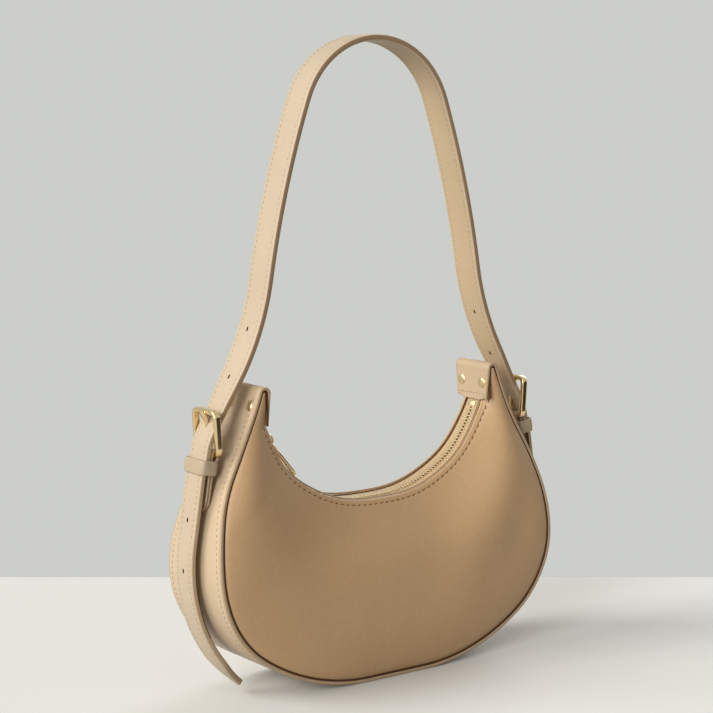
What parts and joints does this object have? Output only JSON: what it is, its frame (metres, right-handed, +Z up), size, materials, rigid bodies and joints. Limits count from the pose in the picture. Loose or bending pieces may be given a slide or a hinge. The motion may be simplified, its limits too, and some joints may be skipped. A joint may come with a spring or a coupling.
{
  "type": "half moon shoulder bag",
  "caption": "Crescent shoulder bag with curved zip mouth, deep gusset folded and riveted over the horns, and an arched strap held by a buckle and keeper on each side.",
  "frame": {"origin": "middle of the flat under the gusset, on the surface the bag stands on", "axes": "+Z up towards the strap, front panel towards -Y, +X to the right seen from the front"},
  "size_m": [0.2639, 0.0688, 0.3886],
  "materials": {
    "body_leather": "satin",
    "strap_leather": "satin",
    "lining_cloth": "matt",
    "zip_tape": "matt",
    "zip_metal": "polished",
    "gold_metal": "polished",
    "base_board": "matt"
  },
  "bodies": {
    "bag": {"gusset": "body_leather", "front_welt": "body_leather", "back_welt": "body_leather", "front_panel": "body_leather", "back_panel": "body_leather", "left_horn_filler": "body_leather", "right_horn_filler": "body_leather", "front_facing": "body_leather", "back_facing": "body_leather", "left_strap_end": "strap_leather", "right_strap_end": "strap_leather", "left_chape": "strap_leather", "right_chape": "strap_leather", "front_lining": "lining_cloth", "back_lining": "lining_cloth", "gusset_lining": "lining_cloth", "slip_pocket": "lining_cloth", "front_zip_tape": "zip_tape", "back_zip_tape": "zip_tape", "front_zip_teeth": "zip_metal", "back_zip_teeth": "zip_metal", "zip_top_stops": "zip_metal", "zip_end_stop": "zip_metal", "left_rivets": "gold_metal", "right_rivets": "gold_metal", "base_board": "base_board"},
    "slider": {"zip_slider": "gold_metal"},
    "puller": {"zip_puller": "gold_metal"},
    "strap_arch": {"strap": "strap_leather"},
    "left_frame": {"left_buckle": "gold_metal"},
    "right_frame": {"right_buckle": "gold_metal"},
    "left_tongue": {"left_prong": "gold_metal"},
    "right_tongue": {"right_prong": "gold_metal"},
    "left_loop": {"left_keeper": "strap_leather"},
    "right_loop": {"right_keeper": "strap_leather"}
  },
  "joints": [
    {"name": "zip_travel", "type": "hinge", "parent": "bag", "child": "slider", "pos_m": [0, 0, 0.19613], "axis": [0, -1, 0], "range_deg": [0, 104], "deforming": ["front_zip_teeth", "back_zip_teeth"]},
    {"name": "puller_flip", "type": "hinge", "parent": "slider", "child": "puller", "pos_m": [-0.07307, 0, 0.14874], "axis": [0, -1, 0], "range_deg": [0, 140]},
    {"name": "strap_swing", "type": "hinge", "parent": "bag", "child": "strap_arch", "pos_m": [0, 0, 0.183], "axis": [1, 0, 0], "range_deg": [-70, 70]},
    {"name": "left_buckle_hinge", "type": "hinge", "parent": "bag", "child": "left_frame", "pos_m": [-0.11562, 0, 0.147], "axis": [0, -1, 0], "range_deg": [0, 8]},
    {"name": "right_buckle_hinge", "type": "hinge", "parent": "bag", "child": "right_frame", "pos_m": [0.11562, 0, 0.147], "axis": [0, 1, 0], "range_deg": [0, 8]},
    {"name": "left_prong_hinge", "type": "hinge", "parent": "left_frame", "child": "left_tongue", "pos_m": [-0.11562, 0, 0.147], "axis": [0, -1, 0], "range_deg": [0, 12]},
    {"name": "right_prong_hinge", "type": "hinge", "parent": "right_frame", "child": "right_tongue", "pos_m": [0.11562, 0, 0.147], "axis": [0, 1, 0], "range_deg": [0, 12]},
    {"name": "left_keeper_slide", "type": "slide", "parent": "bag", "child": "left_loop", "axis": [-0.1564, 0, -0.9877], "range_m": [0, 0.007]},
    {"name": "right_keeper_slide", "type": "slide", "parent": "bag", "child": "right_loop", "axis": [0.1564, 0, -0.9877], "range_m": [0, 0.007]}
  ]
}
